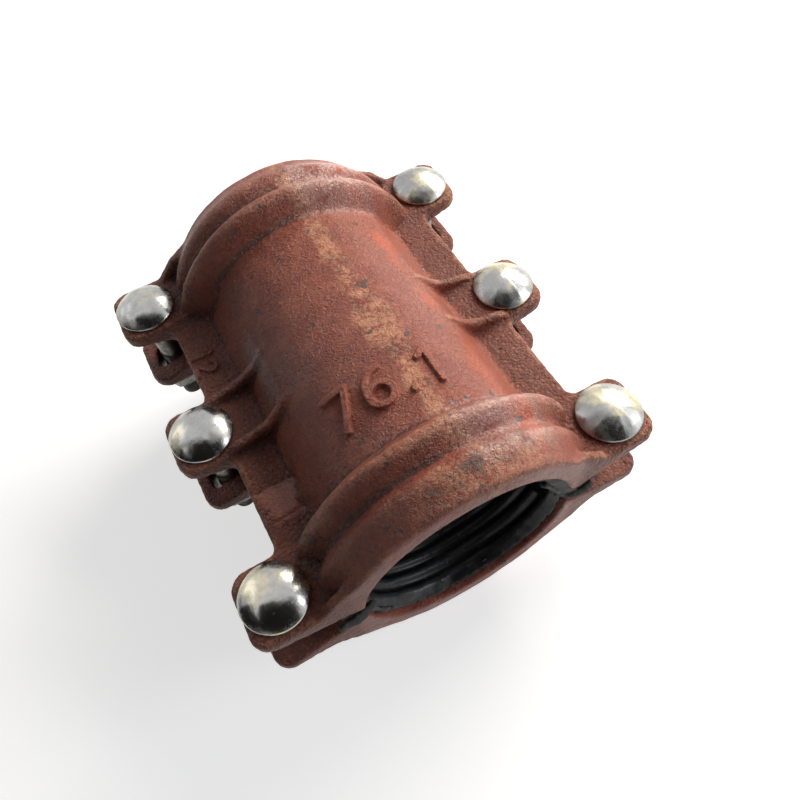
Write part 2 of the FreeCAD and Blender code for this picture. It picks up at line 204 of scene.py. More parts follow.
# Colours of the primer
DEEP_PRIMER = (0.225, 0.040, 0.018)
RED_PRIMER = (0.315, 0.064, 0.029)
PALE_PRIMER = (0.360, 0.090, 0.045)
# Lighter wrinkle tops and darker wrinkle feet, on the same noise as the wrinkles' bump: painted light and
# shade of the wrinkled skin
WRINKLE_PAINTED_HIGHLIGHT = (0.42, 0.130, 0.072)
WRINKLE_PAINTED_SHADE = (0.090, 0.020, 0.013)
THICK_PRIMER = (0.310, 0.074, 0.034)
# Two browns of the flanges' dusty primer, split by the same leathery cells that make its grain bump: the
# dusty brown is real, the light and dark split is painted light and shade of the grain
LEATHER_PAINTED_LIGHT = (0.300, 0.120, 0.075)
LEATHER_PAINTED_SHADE = (0.130, 0.038, 0.023)
ORANGE_PRIMER = (0.50, 0.086, 0.022)
TAN_DUST = (0.64, 0.300, 0.170)
DARK_FLECK = (0.075, 0.062, 0.054)
NICK = (0.030, 0.030, 0.028)
# Orange-red on the crests of the cast numerals: a painted highlight
NUMERAL_PAINTED_HIGHLIGHT = (0.44, 0.115, 0.055)
# Grey of the left shoulder patch: partly bare worn primer, partly a painted reflection of glare
GREY_WEAR_AND_GLARE = (0.19, 0.150, 0.135)
# Dark brown in the hollows on the left side of the castings: painted shade
HOLLOW_PAINTED_SHADE = (0.050, 0.017, 0.012)
# Darker brown over the left side of the upper casting: painted shade
LEFT_PAINTED_SHADE = (0.085, 0.028, 0.019)

# Colours of the rubber and the zinc
RUBBER_BLACK = (0.006, 0.006, 0.007)
RUBBER_SCUFFED = (0.030, 0.031, 0.034)
# Bluish grey for the rubber's proud edges and rib crests: partly scuffing, partly a painted highlight
RUBBER_EDGE_WEAR_AND_SHEEN = (0.085, 0.088, 0.095)
RUBBER_SPECK = (0.20, 0.195, 0.185)
TORN_DARK = (0.012, 0.012, 0.012)
TORN_GREY = (0.050, 0.051, 0.047)
TORN_PALE = (0.24, 0.215, 0.20)
ZINC_BRIGHT = (0.43, 0.43, 0.42)
ZINC_SATIN = (0.37, 0.37, 0.365)
ZINC_NUT = (0.42, 0.42, 0.40)
ZINC_YELLOW = (0.74, 0.66, 0.43)
ZINC_DULL = (0.27, 0.265, 0.255)
ZINC_PIT = (0.07, 0.06, 0.055)
# Darker zinc below the lugs: painted shade
ZINC_PAINTED_SHADE = (0.105, 0.100, 0.090)

# Studio: the world is dimmer for what it sheds on the object than for what is seen directly or in gloss
WORLD_ON_OBJECT = 0.125
WORLD_SEEN = 1.0
FLOOR_SIZE = 6.0
FLOOR_GREY = 0.66
FLOOR_ROUGHNESS = 0.9
FLOOR_GLOW = 0.62
FLOOR_GAP = 0.5 * MM
CARD_BLACK = (0.03, 0.028, 0.027)
# Black cards that the gloss shows: name, size, place
CARDS = (
    ("card_near", (2.6, 1.9), (-0.24, -0.66, 0.78)),
    ("card_left", (1.7, 1.0), (-0.95, 0.05, 0.16)),
)
# Soft lamps: name, direction from the object, distance, size, energy, colour
LAMPS = (
    ("key", (0.80, 0.36, 0.53), 0.75, (0.52, 0.36), 8.2, (1.0, 0.95, 0.88)),
    ("back", (-0.70, 0.62, 0.36), 0.95, (0.70, 0.60), 0.8, (0.97, 0.98, 1.0)),
    ("side", (0.80, -0.45, 0.42), 0.85, (0.30, 0.50), 2.2, (0.93, 0.96, 1.0)),
)

scene = bpy.context.scene
scene.view_settings.view_transform = "Standard"


def add_camera():
    data = bpy.data.cameras.new("camera")
    data.sensor_width = SENSOR_WIDTH
    data.lens = LENS
    data.clip_start = NEAREST_SEEN
    camera = bpy.data.objects.new("camera", data)
    scene.collection.objects.link(camera)
    camera.location = CAMERA_PLACE
    camera.rotation_euler = Euler([math.radians(a) for a in CAMERA_TURN])
    scene.camera = camera


# Node helpers

class Nodes:
    """Short way to write a material's node tree."""

    def __init__(self, name):
        self.material = bpy.data.materials.new(name)
        self.material.use_nodes = True
        self.tree = self.material.node_tree
        self.shader = self.tree.nodes["Principled BSDF"]
        self.place = self.add("ShaderNodeTexCoord").outputs["Object"]

    def add(self, kind, **settings):
        node = self.tree.nodes.new(kind)
        for key, value in settings.items():
            setattr(node, key, value)
        return node

    def link(self, value, socket):
        if isinstance(value, bpy.types.NodeSocket):
            self.tree.links.new(value, socket)
        elif isinstance(value, tuple) and len(value) == 3 and socket.type == "RGBA":
            socket.default_value = (*value, 1)
        else:
            socket.default_value = value

    def noise(self, scale, detail=3.0, rough=0.55, place=None, distortion=0.0):
        node = self.add("ShaderNodeTexNoise")
        self.link(place or self.place, node.inputs["Vector"])
        node.inputs["Scale"].default_value = scale
        node.inputs["Detail"].default_value = detail
        node.inputs["Roughness"].default_value = rough
        node.inputs["Distortion"].default_value = distortion
        return node.outputs["Fac"]

    def cells(self, scale):
        """Distance to the nearest of many scattered points."""
        node = self.add("ShaderNodeTexVoronoi", feature="F1")
        self.link(self.place, node.inputs["Vector"])
        node.inputs["Scale"].default_value = scale
        return node.outputs["Distance"]

    def step(self, value, low, high, out_low=0.0, out_high=1.0):
        """Smooth step of a value between two levels."""
        node = self.add("ShaderNodeMapRange", interpolation_type="SMOOTHSTEP")
        self.link(value, node.inputs["Value"])
        levels = {"From Min": low, "From Max": high, "To Min": out_low, "To Max": out_high}
        for key, number in levels.items():
            node.inputs[key].default_value = number
        return node.outputs["Result"]

    def math(self, operation, a, b=0.0, clamp=False):
        node = self.add("ShaderNodeMath", operation=operation, use_clamp=clamp)
        self.link(a, node.inputs[0])
        self.link(b, node.inputs[1])
        return node.outputs["Value"]

    def plus(self, a, b, clamp=False):
        return self.math("ADD", a, b, clamp)

    def minus(self, a, b):
        return self.math("SUBTRACT", a, b)

    def rest(self, value):
        return self.minus(1.0, value)

    def times(self, *values):
        result = values[0]
        for value in values[1:]:
            result = self.math("MULTIPLY", result, value)
        return result

    def most(self, *values):
        result = values[0]
        for value in values[1:]:
            result = self.math("MAXIMUM", result, value)
        return result

    def near(self, value, centre, reach, full):
        """1 within the full distance of a centre, fading out to 0 at its reach."""
        return self.step(self.math("ABSOLUTE", self.minus(value, centre)), reach, full)

    def mix(self, share, a, b):
        node = self.add("ShaderNodeMix", data_type="RGBA")
        self.link(share, node.inputs["Factor"])
        colours = [socket for socket in node.inputs if socket.type == "RGBA"]
        self.link(a, colours[0])
        self.link(b, colours[1])
        return [socket for socket in node.outputs if socket.type == "RGBA"][0]

    def layered(self, colour, layers):
        """A colour with others laid over it, each by its share."""
        for share, layer in layers:
            colour = self.mix(share, colour, layer)
        return colour

    def attribute(self, name):
        return self.add("ShaderNodeAttribute", attribute_name=name).outputs["Fac"]

    def parts(self, vector):
        node = self.add("ShaderNodeSeparateXYZ")
        self.link(vector, node.inputs["Vector"])
        return node.outputs["X"], node.outputs["Y"], node.outputs["Z"]

    def stretched(self, x, y, z):
        node = self.add("ShaderNodeMapping")
        self.link(self.place, node.inputs["Vector"])
        node.inputs["Scale"].default_value = (x, y, z)
        return node.outputs["Vector"]

    def bump(self, height, distance, strength=1.0, normal=None):
        node = self.add("ShaderNodeBump")
        self.link(height, node.inputs["Height"])
        node.inputs["Distance"].default_value = distance
        node.inputs["Strength"].default_value = strength
        if normal is not None:
            self.link(normal, node.inputs["Normal"])
        return node.outputs["Normal"]

    def done(self, colour, roughness, metallic=0.0, normal=None):
        self.link(colour, self.shader.inputs["Base Color"])
        self.link(roughness, self.shader.inputs["Roughness"])
        self.link(metallic, self.shader.inputs["Metallic"])
        if normal is not None:
            self.link(normal, self.shader.inputs["Normal"])
        return self.material


# Mesh helpers

def linked(name, data):
    obj = bpy.data.objects.new(name, data)
    scene.collection.objects.link(obj)
    return obj


def even_mesh(node, voxel):
    """Closed mesh with even faces, in the shape of a CAD node."""
    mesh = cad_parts[node].data.copy()
    work = bmesh.new()
    work.from_mesh(mesh)
    bmesh.ops.remove_doubles(work, verts=work.verts, dist=WELD)
    work.to_mesh(mesh)
    work.free()
    obj = linked("even_" + node, mesh)
    remesh = obj.modifiers.new("remesh", "REMESH")
    remesh.mode = "VOXEL"
    remesh.voxel_size = voxel
    return applied(obj)


def applied(obj):
    """The mesh that an object's modifiers make; the object goes."""
    graph = bpy.context.evaluated_depsgraph_get()
    result = bpy.data.meshes.new_from_object(
        obj.evaluated_get(graph), preserve_all_data_layers=True, depsgraph=graph)
    bpy.data.objects.remove(obj)
    return result


def thinned(mesh, most):
    """Fewer faces where the skin is nearly flat, for at most so many triangles."""
    count = sum(len(polygon.vertices) - 2 for polygon in mesh.polygons)
    obj = linked("thinned", mesh)
    fewer = obj.modifiers.new("fewer", "DECIMATE")
    fewer.ratio = min(1.0, most / count)
    return applied(obj)


def shade_smooth(mesh):
    for polygon in mesh.polygons:
        polygon.use_smooth = True


def dress(obj, material):
    obj.data.materials.clear()
    obj.data.materials.append(material)


def coordinates(mesh):
    points = np.empty(len(mesh.vertices) * 3)
    mesh.vertices.foreach_get("co", points)
    return points.reshape(-1, 3)


def normals_of(mesh):
    normals = np.empty(len(mesh.vertices) * 3)
    mesh.vertices.foreach_get("normal", normals)
    return normals.reshape(-1, 3)


def put_back(mesh, points):
    mesh.vertices.foreach_set("co", points.ravel())
    mesh.update()


def edge_pairs(mesh):
    pairs = np.empty(len(mesh.edges) * 2, dtype=np.int64)
    mesh.edges.foreach_get("vertices", pairs)
    return pairs.reshape(-1, 2)


def neighbour_mean(points, pairs):
    """Mean of the neighbours of every vertex."""
    count = np.bincount(pairs.ravel(), minlength=len(points))
    total = np.empty_like(points)
    for axis in range(points.shape[1]):
        total[:, axis] = np.bincount(pairs[:, 0], points[pairs[:, 1], axis], len(points))
        total[:, axis] += np.bincount(pairs[:, 1], points[pairs[:, 0], axis], len(points))
    return total / np.maximum(count, 1)[:, None]


def softened(points, pairs, rounds, share=0.5):
    for _ in range(rounds):
        points = points * (1 - share) + neighbour_mean(points, pairs) * share
    return points


def proudness(points, normals, pairs, rounds, full):
    """How far every point stands over its surroundings, as a share of a full height."""
    return ((points - softened(points, pairs, rounds)) * normals).sum(axis=1) / full


def waves(points, size, seed):
    """Smooth noise from -1 to 1 at every point."""
    shift = Vector((seed, seed * 1.7, seed * 0.6))
    return np.array([noise.noise(Vector(p) / size + shift) for p in points])


def store(mesh, name, values):
    layer = mesh.attributes.new(name, "FLOAT", "POINT")
    layer.data.foreach_set("value", np.asarray(values, dtype=np.float32))


def smooth_step(value, low, high):
    t = np.clip((value - low) / (high - low), 0, 1)
    return t * t * (3 - 2 * t)


# Numerals

def arc(centre, radius, start, end, count=10):
    """Points on an ellipse's arc, angles in degrees from +X towards +Y."""
    turns = [math.radians(start + (end - start) * i / count) for i in range(count + 1)]
    return [(centre[0] + radius[0] * math.cos(t), centre[1] + radius[1] * math.sin(t)) for t in turns]


# Width and strokes of each numeral, in a cell one unit high
STROKES = {
    "7": (0.58, [[(0.03, 0.96), (0.56, 0.96), (0.22, 0.0)]]),
    "6": (0.58, [
        arc((0.31, 0.30), (0.25, 0.28), 0, 360, 20),
        [(0.06, 0.32)] + arc((0.52, 0.40), (0.46, 0.56), 175, 95, 8),
    ]),
    ".": (0.2, [[(0.1, 0.02), (0.1, 0.06)]]),
    "1": (0.4, [[(0.05, 0.78), (0.26, 0.97), (0.26, 0.0)]]),
    "2": (0.56, [arc((0.29, 0.71), (0.24, 0.25), 170, -35, 10) + [(0.05, 0.02), (0.55, 0.02)]]),
}


def line_of(mark):
    """Stroke segments of a mark, scaled, as an array of (x1, y1, x2, y2)."""
    segments = []
    x = 0.0
    for letter in mark.text:
        width, strokes = STROKES[letter]
        for stroke in strokes:
            for a, b in zip(stroke, stroke[1:]):
                left = (a[0] * LETTER_WIDTH + x) * mark.height
                right = (b[0] * LETTER_WIDTH + x) * mark.height
                segments.append((left, a[1] * mark.height, right, b[1] * mark.height))
        x += width * LETTER_WIDTH + LETTER_GAP
    return np.array(segments)


def distance_to(segments, u, v):
    """Distance from every point (u, v) to the nearest stroke."""
    best = np.full(len(u), 1.0)
    for x1, y1, x2, y2 in segments:
        dx, dy = x2 - x1, y2 - y1
        t = np.clip(((u - x1) * dx + (v - y1) * dy) / (dx * dx + dy * dy), 0, 1)
        best = np.minimum(best, np.hypot(u - x1 - t * dx, v - y1 - t * dy))
    return best


def marked(points, side):
    """For each mark: itself, every point's place (u, v) in its cell, and which points lie in that cell."""
    x, y, level = points[:, 0] * side, points[:, 1], points[:, 2] * side
    across = np.arctan2(x, level) * BARREL_RADIUS
    outside = np.hypot(points[:, 0], points[:, 2]) > BARREL_RADIUS - CROWN_MARK_DEPTH
    on_crown = outside & (level > CROWN_MARK_FROM_Z)
    on_top = (level > FLANGE_MARK_FROM_Z) & (level < FLANGE_MARK_TO_Z)
    on_flange = on_top & (x < -FLANGE_FROM_X)
    for mark, u, v, face in (
        (CROWN_MARK, across - CROWN_MARK_ACROSS, y - CROWN_MARK_Y, on_crown),
        (FLANGE_MARK, FLANGE_MARK_Y - y, x - FLANGE_MARK_X, on_flange),
    ):
        reach = line_of(mark)[:, 2].max()
        inside = face & (u > -mark.margin) & (u < reach + mark.margin)
        inside &= (v > -mark.margin) & (v < mark.height + mark.margin)
        yield mark, u, v, inside


def lettered(points, side):
    """How much every point is raised by the cast marks."""
    rise = np.zeros(len(points))
    for mark, u, v, inside in marked(points, side):
        off = distance_to(line_of(mark), u[inside], v[inside])
        slope = smooth_step(off, mark.stroke - mark.edge / 2, mark.stroke + mark.edge / 2)
        rise[inside] = mark.rise * (1 - slope)
    return rise


def refine_lettering(mesh, side):
    """Smaller faces where the marks stand."""
    work = bmesh.new()
    work.from_mesh(mesh)
    points = coordinates(mesh)
    chosen = np.zeros(len(points), dtype=bool)
    for _, _, _, inside in marked(points, side):
        chosen |= inside
    work.verts.ensure_lookup_table()
    edges = [e for e in work.edges if chosen[e.verts[0].index] and chosen[e.verts[1].index]]
    bmesh.ops.subdivide_edges(work, edges=edges, cuts=FINER_CUTS, use_grid_fill=True)
    work.to_mesh(mesh)
    work.free()


# Castings

def cast_skin(points, normals, side):
    """How far the uneven sand-cast skin stands over the solid's own, at every point; none in the bore."""
    rise = np.zeros(len(points))
    for size, height, seed in WAVES:
        rise += height * waves(points, size, seed + side)
    rough = smooth_step(np.abs(points[:, 0]), BARREL_RADIUS * LEATHER_FROM, BARREL_RADIUS * LEATHER_FULL)
    off = np.hypot(points[:, 0] * side - RUN_PLACE[0], points[:, 1] - RUN_PLACE[1])
    ragged = RUN_RAGGED * waves(points, RUN_WAVE, RUN_SEED + side)
    wet = smooth_step(off + ragged, RUN_RADIUS, RUN_RADIUS - RUN_EDGE)
    rise += LEATHER_HEIGHT * rough * (1 - wet) * waves(points, LEATHER_SIZE, LEATHER_SEED + side)
    rise += RUN_HEIGHT * wet * (points[:, 2] * side > 0)
    inner = np.hypot(points[:, 0], points[:, 2]) < BORE_RADIUS
    rise[inner & (normals[:, 2] * side < BORE_FACING)] = 0
    return rise


def casting(node, body, side):
    """A cast half: even faces, soft edges, uneven skin, raised marks, and where it is proud or hollow."""
    mesh = even_mesh(node, VOXEL)
    put_back(mesh, softened(coordinates(mesh), edge_pairs(mesh), SOFTEN_ROUNDS))
    refine_lettering(mesh, side)
    points = coordinates(mesh)
    normals = normals_of(mesh)
    proud = proudness(points, normals, edge_pairs(mesh), CREST_ROUNDS, CREST_FULL)
    numerals = lettered(points, side)
    rise = cast_skin(points, normals, side) + numerals
    put_back(mesh, points + normals * rise[:, None])
    share = numerals / CROWN_MARK.rise
    store(mesh, "proud", np.clip(proud + share * NUMERAL_PROUD, -PROUD_LIMIT, PROUD_LIMIT))
    store(mesh, "numeral", share)
    mesh = thinned(mesh, MOST_TRIANGLES)
    shade_smooth(mesh)
    obj = linked("cast_" + node, mesh)
    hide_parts(node)
    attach(obj, body)
    return obj


# Rubber

def lining(node, body, side):
    """A moulded rubber half: soft edges, uneven skin, and where it is proud or hollow."""
    mesh = even_mesh(node, LINING_VOXEL)
    pairs = edge_pairs(mesh)
    points = softened(coordinates(mesh), pairs, LINING_SOFTEN_ROUNDS)
    put_back(mesh, points)
    normals = normals_of(mesh)
    proud = proudness(points, normals, pairs, LINING_CREST_ROUNDS, LINING_CREST_FULL)
    at_mouth = smooth_step(np.abs(points[:, 1]), MOUTH_FROM, MOUTH_FULL)
    uneven = at_mouth * LINING_UNEVEN * waves(points, LINING_WAVE, LINING_SEED + side)
    put_back(mesh, points + normals * uneven[:, None])
    store(mesh, "proud", np.clip(proud, -PROUD_LIMIT, PROUD_LIMIT))
    mesh = thinned(mesh, LINING_TRIANGLES)
    shade_smooth(mesh)
    obj = linked("moulded_" + node, mesh)
    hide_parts(node)
    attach(obj, body)
    return obj


def corners_cut(line, rounds):
    """A line of points with its corners cut over and over, until it is a curve."""
    for _ in range(rounds):
        finer = [line[0]]
        for a, b in zip(line, line[1:]):
            finer += [a * 0.75 + b * 0.25, a * 0.25 + b * 0.75]
        line = finer + [line[-1]]
    return line


def squarish(value):
    """A sine or cosine pushed outwards, for a section between a circle and a square."""
    return math.copysign(abs(value) ** TORN_SQUARENESS, value)


def torn_ring(torn, point, along, share):
    """One section of a torn strip, uneven in width, thickness and place."""
    wide = Vector(torn.across)
    wide = (wide - along * wide.dot(along)).normalized()
    flat = along.cross(wide)
    at = Vector((share * 4 + torn.seed, torn.seed * 1.3, 0.5))
    end = min(1.0, math.sin(math.pi * share) * 3 + TORN_BLUNT_END)
    slow, fast = TORN_WIDTH_WAVES
    reach = torn.half_width * MM * end * (1 + slow * noise.noise(at) + fast * noise.noise(at * 3.1))
    bulge = 1 + TORN_THICKNESS_WAVE * noise.noise(at * 2.3 + Vector((7, 0, 0)))
    thick = torn.thickness / 2 * MM * end * bulge
    shift = flat * noise.noise(at * 1.4 + Vector((0, 9, 0))) * TORN_SHIFT
    ring = []
    for k in range(TORN_SECTION):
        turn = 2 * math.pi * k / TORN_SECTION
        edge = Vector((0, 0, round(math.cos(turn)) * 4))
        ragged = 1 + TORN_SECTION_WAVE * noise.noise(at * 2.2 + edge)
        u = squarish(math.cos(turn)) * reach * ragged
        v = squarish(math.sin(turn)) * thick
        ring.append(point + shift + wide * u + flat * v)
    return ring


def torn_piece(torn):
    """Ragged strip of rubber: a rounded section swept along a curve."""
    line = corners_cut([Vector(p) * MM for p in torn.line], TORN_CORNER_CUTS)
    last = len(line) - 1
    rings = []
    for i, point in enumerate(line):
        along = (line[min(i + 1, last)] - line[max(i - 1, 0)]).normalized()
        rings.append(torn_ring(torn, point, along, i / last))
    obj = linked(torn.name, ring_mesh(torn.name, rings))
    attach(obj, torn.body)
    return obj


# Materials

class Primer(Nodes):
    """Red oxide primer over cast iron: wrinkled, rubbed on the crests, glossy where it pooled."""

    def __init__(self):
        super().__init__("red_oxide_primer")
        self.x, self.y, self.z = self.parts(self.place)
        self.proud = self.attribute("proud")
        self.medium = self.noise(110, 4, 0.6)
        self.wrinkles = self.noise(680, 5, 0.62, distortion=0.9)
        self.speckle = self.noise(520, 4, 0.68, distortion=0.6)
        self.leather = self.step(self.cells(640), 0.0, 0.6)
        self.uneven = self.minus(self.medium, 0.5)
        self.wobble = self.times(self.uneven, WOBBLE)
        self.wavy_x = self.plus(self.x, self.wobble)
        self.find_coats()
        self.find_wear()

    def above(self, low, high):
        return self.step(self.z, low, high)

    def across(self, low, high):
        return self.step(self.wavy_x, low, high)

    def find_coats(self):
        """Where the primer lies thick: the run on the left flange, the barrel's right side, the hollows."""
        self.run = self.times(
            self.near(self.wavy_x, RUN_PLACE[0], 8 * MM, 5.5 * MM),
            self.near(self.y, RUN_PLACE[1], 8.5 * MM, 6 * MM),
            self.above(12 * MM, 15 * MM))
        beside = self.step(self.math("ABSOLUTE", self.x), 42 * MM, 47 * MM)
        self.flange = self.times(beside, self.rest(self.times(self.run, 0.9)))
        self.smooth = self.times(
            self.across(4 * MM, 26 * MM),
            self.rest(self.flange),
            self.above(0.0, 20 * MM))
        self.pooled = self.step(self.plus(self.proud, self.uneven), -0.25, -1.2)

    def find_wear(self):
        """Where it is rubbed: the crown, the front collar and every crest; and the grey patch on the left
        shoulder, partly worn and partly a painted reflection of glare.
        """
        along = self.math("ABSOLUTE", self.minus(self.y, CROWN_DUST_WIDE_Y))
        half_width = self.step(along, 3 * MM, 18 * MM, 7 * MM, 3.2 * MM)
        wavy = self.plus(self.x, self.times(self.wobble, 0.5))
        off = self.math("ABSOLUTE", self.minus(wavy, CROWN_DUST_X))
        self.crown = self.times(
            self.step(self.minus(off, half_width), 2 * MM, -1.5 * MM),
            self.above(40 * MM, 44 * MM))
        self.ahead = self.times(
            self.near(self.y, FRONT_DUST_Y, 7 * MM, 3 * MM),
            self.above(30 * MM, 45 * MM),
            self.near(self.x, FRONT_DUST_X, 30 * MM, 14 * MM))
        self.crest = self.times(
            self.step(self.plus(self.proud, self.times(self.uneven, 1.8)), 0.60, 1.30),
            self.above(-5 * MM, 15 * MM))
        self.rub = self.most(self.crown, self.times(self.crest, 0.55), self.times(self.ahead, 0.75))
        self.left = self.times(
            self.near(self.x, LEFT_GREY_X, 4 * MM, 2 * MM),
            self.near(self.y, LEFT_GREY_Y, 20 * MM, 12 * MM),
            self.above(20 * MM, 30 * MM))

    def colour(self):
        # Flange brown: real dusty tone, with painted light and shade following the leathery grain
        brown = self.mix(self.leather, LEATHER_PAINTED_LIGHT, LEATHER_PAINTED_SHADE)
        strip = self.times(
            self.near(self.wavy_x, STRIP_X, 6 * MM, 1 * MM),
            self.step(self.noise(38), 0.36, 0.56),
            self.above(20 * MM, 28 * MM))
        dusty = self.step(self.plus(self.speckle, self.times(self.uneven, 0.5)), 0.40, 0.58)
        worn = self.most(
            self.times(self.ahead, 0.9),
            self.times(self.crown, 0.5),
            self.times(self.crest, 0.4))
        fleck = self.step(self.plus(self.speckle, self.times(self.uneven, -0.9)), 0.54, 0.62)
        nick = self.times(
            self.step(self.noise(150, 2, 0.5), 0.69, 0.70),
            self.step(self.speckle, 0.42, 0.50))
        # Where the numerals stand: their crests get a painted highlight
        raised = self.times(
            self.step(self.attribute("numeral"), 0.15, 0.9),
            self.step(self.speckle, 0.40, 0.60))
        # Painted shade in the hollows, fading out towards the right
        left_hollow_shade = self.times(self.pooled, self.across(12 * MM, -5 * MM))
        # Painted shade over the left side of the upper casting, left of the barrel's crown
        shade_share = self.times(self.across(-12 * MM, -40 * MM), self.above(0.0, 20 * MM), self.rest(self.run))
        ground = self.mix(self.step(self.noise(22), 0.35, 0.65), DEEP_PRIMER, RED_PRIMER)
        return self.layered(ground, (
            (self.step(self.medium, 0.38, 0.68), PALE_PRIMER),
            # Painted light on the wrinkle tops and painted shade in the wrinkle feet
            (self.times(self.step(self.wrinkles, 0.52, 0.70), 0.50), WRINKLE_PAINTED_HIGHLIGHT),
            (self.times(self.step(self.wrinkles, 0.48, 0.32), 0.65), WRINKLE_PAINTED_SHADE),
            (self.times(self.smooth, 0.45), THICK_PRIMER),
            (self.times(self.flange, 0.6), brown),
            (self.times(strip, 0.95), ORANGE_PRIMER),
            (self.times(self.rub, dusty, 0.80), TAN_DUST),
            (self.times(worn, fleck, 0.8), DARK_FLECK),
            (self.times(nick, 0.85), NICK),
            (self.times(raised, 0.6), NUMERAL_PAINTED_HIGHLIGHT),
            # Grey patch on the left shoulder: partly wear, partly painted glare
            (self.times(self.left, self.step(self.speckle, 0.50, 0.58), 0.7), GREY_WEAR_AND_GLARE),
            (self.times(left_hollow_shade, 0.7), HOLLOW_PAINTED_SHADE),
            (self.times(shade_share, 0.28), LEFT_PAINTED_SHADE),
        ))

    def shine(self):
        """Wet-looking streaks on the right of both collars, and on the left shoulder."""
        far = self.math("ABSOLUTE", self.y)
        streaks = self.times(
            self.step(far, 47 * MM, 54 * MM),
            self.step(far, 79 * MM, 72 * MM),
            self.above(25 * MM, 35 * MM),
            self.across(0.0, 12 * MM),
            self.step(self.x, 40 * MM, 32 * MM),
            self.step(self.medium, 0.30, 0.50))
        return self.most(streaks, self.times(self.left, 0.6))

    def roughness(self, shine):
        """Glossy where the primer pooled or lay thick, dull where it is dusty."""
        patches = self.step(self.noise(34), 0.48, 0.62)
        gloss = self.most(
            self.pooled,
            self.times(patches, 0.5),
            self.times(self.smooth, 0.3),
            shine,
            self.times(self.run, 0.9))
        rough = self.minus(0.41, self.times(gloss, 0.20))
        rough = self.plus(rough, self.times(self.minus(self.wrinkles, 0.5), 0.35))
        dull = self.plus(self.times(self.rub, 0.15), self.times(self.flange, 0.08))
        return self.plus(rough, dull, clamp=True)

    def relief(self):
        filled = self.plus(self.times(self.smooth, 0.25), self.times(self.run, 0.75), clamp=True)
        skin = self.bump(self.times(self.wrinkles, self.rest(filled)), 1.5 * MM, 1.0)
        grain = self.plus(self.times(self.leather, self.flange), self.times(self.noise(1900, 2, 0.6), 0.5))
        return self.bump(grain, 0.42 * MM, 0.9, skin)

    def finished(self):
        shine = self.shine()
        self.shader.inputs["Specular IOR Level"].default_value = 0.45
        self.shader.inputs["Coat Roughness"].default_value = 0.12
        coat = self.plus(self.times(shine, 0.95), self.times(self.smooth, 0.12), clamp=True)
        self.link(coat, self.shader.inputs["Coat Weight"])
        self.link(self.bump(self.wrinkles, 0.7 * MM, 1.0), self.shader.inputs["Coat Normal"])
        return self.done(self.colour(), self.roughness(shine), 0.0, self.relief())


def rubber():
    """Black moulded rubber, grey where it is scuffed, and bluish grey along its proud edges and rib crests:
    partly scuffing, partly a painted highlight.
    """
    n = Nodes("black_rubber")
    ragged = n.noise(240, 4, 0.65)
    scuff = n.times(n.step(ragged, 0.5, 0.7), n.step(n.noise(45, 2), 0.4, 0.65))
    # Proud edges and rib crests: scuffing and a painted highlight
    edge = n.step(n.plus(n.attribute("proud"), n.times(n.minus(ragged, 0.5), 1.2)), 0.25, 1.1)
    speck = n.step(n.noise(700, 2, 0.5), 0.70, 0.73)
    colour = n.layered(RUBBER_BLACK, (
        (scuff, RUBBER_SCUFFED),
        (n.times(edge, 0.45), RUBBER_EDGE_WEAR_AND_SHEEN),
        (n.times(speck, 0.7), RUBBER_SPECK),
    ))
    roughness = n.step(n.noise(160), 0.3, 0.7, 0.28, 0.46)
    n.shader.inputs["Specular IOR Level"].default_value = 0.28
    return n.done(colour, roughness, 0.0, n.bump(n.noise(900, 4), 0.15 * MM, 0.5))


def torn_rubber():
    """Torn rubber: dull dark grey with a crumbled skin."""
    n = Nodes("torn_rubber")
    crumb = n.noise(420, 4, 0.65)
    colour = n.layered(TORN_DARK, (
        (n.step(crumb, 0.35, 0.65), TORN_GREY),
        (n.times(n.step(n.noise(130), 0.60, 0.70), 0.6), TORN_PALE),
    ))
    roughness = n.step(crumb, 0.3, 0.7, 0.50, 0.75)
    n.shader.inputs["Specular IOR Level"].default_value = 0.3
    return n.done(colour, roughness, 0.0, n.bump(crumb, 0.5 * MM, 0.8))


def zinc(name, tint, blotch=0.6, satin=0.0):
    """Bright zinc plate with yellow stains, brushed scratches and small pits; darker and rougher below the
    lugs, the darkening there a painted shade.
    """
    n = Nodes(name)
    stain = n.times(n.step(n.noise(70), 0.52, 0.66), blotch)
    dull = n.step(n.noise(150, 4, 0.65), 0.42, 0.68)
    pit = n.times(n.step(n.cells(420), 0.13, 0.07), n.step(n.noise(60, 2), 0.5, 0.62))
    scratches = n.noise(1.0, 3, 0.6, n.stretched(2600, 300, 900))
    # Below the lugs: painted shade in the colour, and a rougher surface
    shade_share = n.step(n.parts(n.place)[2], 14 * MM, -4 * MM)
    colour = n.layered(tint, (
        (stain, ZINC_YELLOW),
        (n.times(dull, 0.6), ZINC_DULL),
        (n.times(pit, 0.8), ZINC_PIT),
        (n.times(shade_share, n.step(dull, 0.0, 1.0, 0.65, 0.95)), ZINC_PAINTED_SHADE),
    ))
    roughness = n.plus(n.step(dull, 0.0, 1.0, 0.17, 0.34), n.times(n.step(scratches, 0.5, 0.75), 0.10))
    roughness = n.plus(roughness, n.plus(n.times(pit, 0.4), satin), clamp=True)
    roughness = n.plus(roughness, n.times(shade_share, 0.12), clamp=True)
    skin = n.bump(n.noise(190, 3, 0.5), 0.35 * MM, 0.40)
    skin = n.bump(n.minus(scratches, pit), 0.05 * MM, 0.35, skin)
    return n.done(colour, roughness, 1.0, skin)


# Bolts

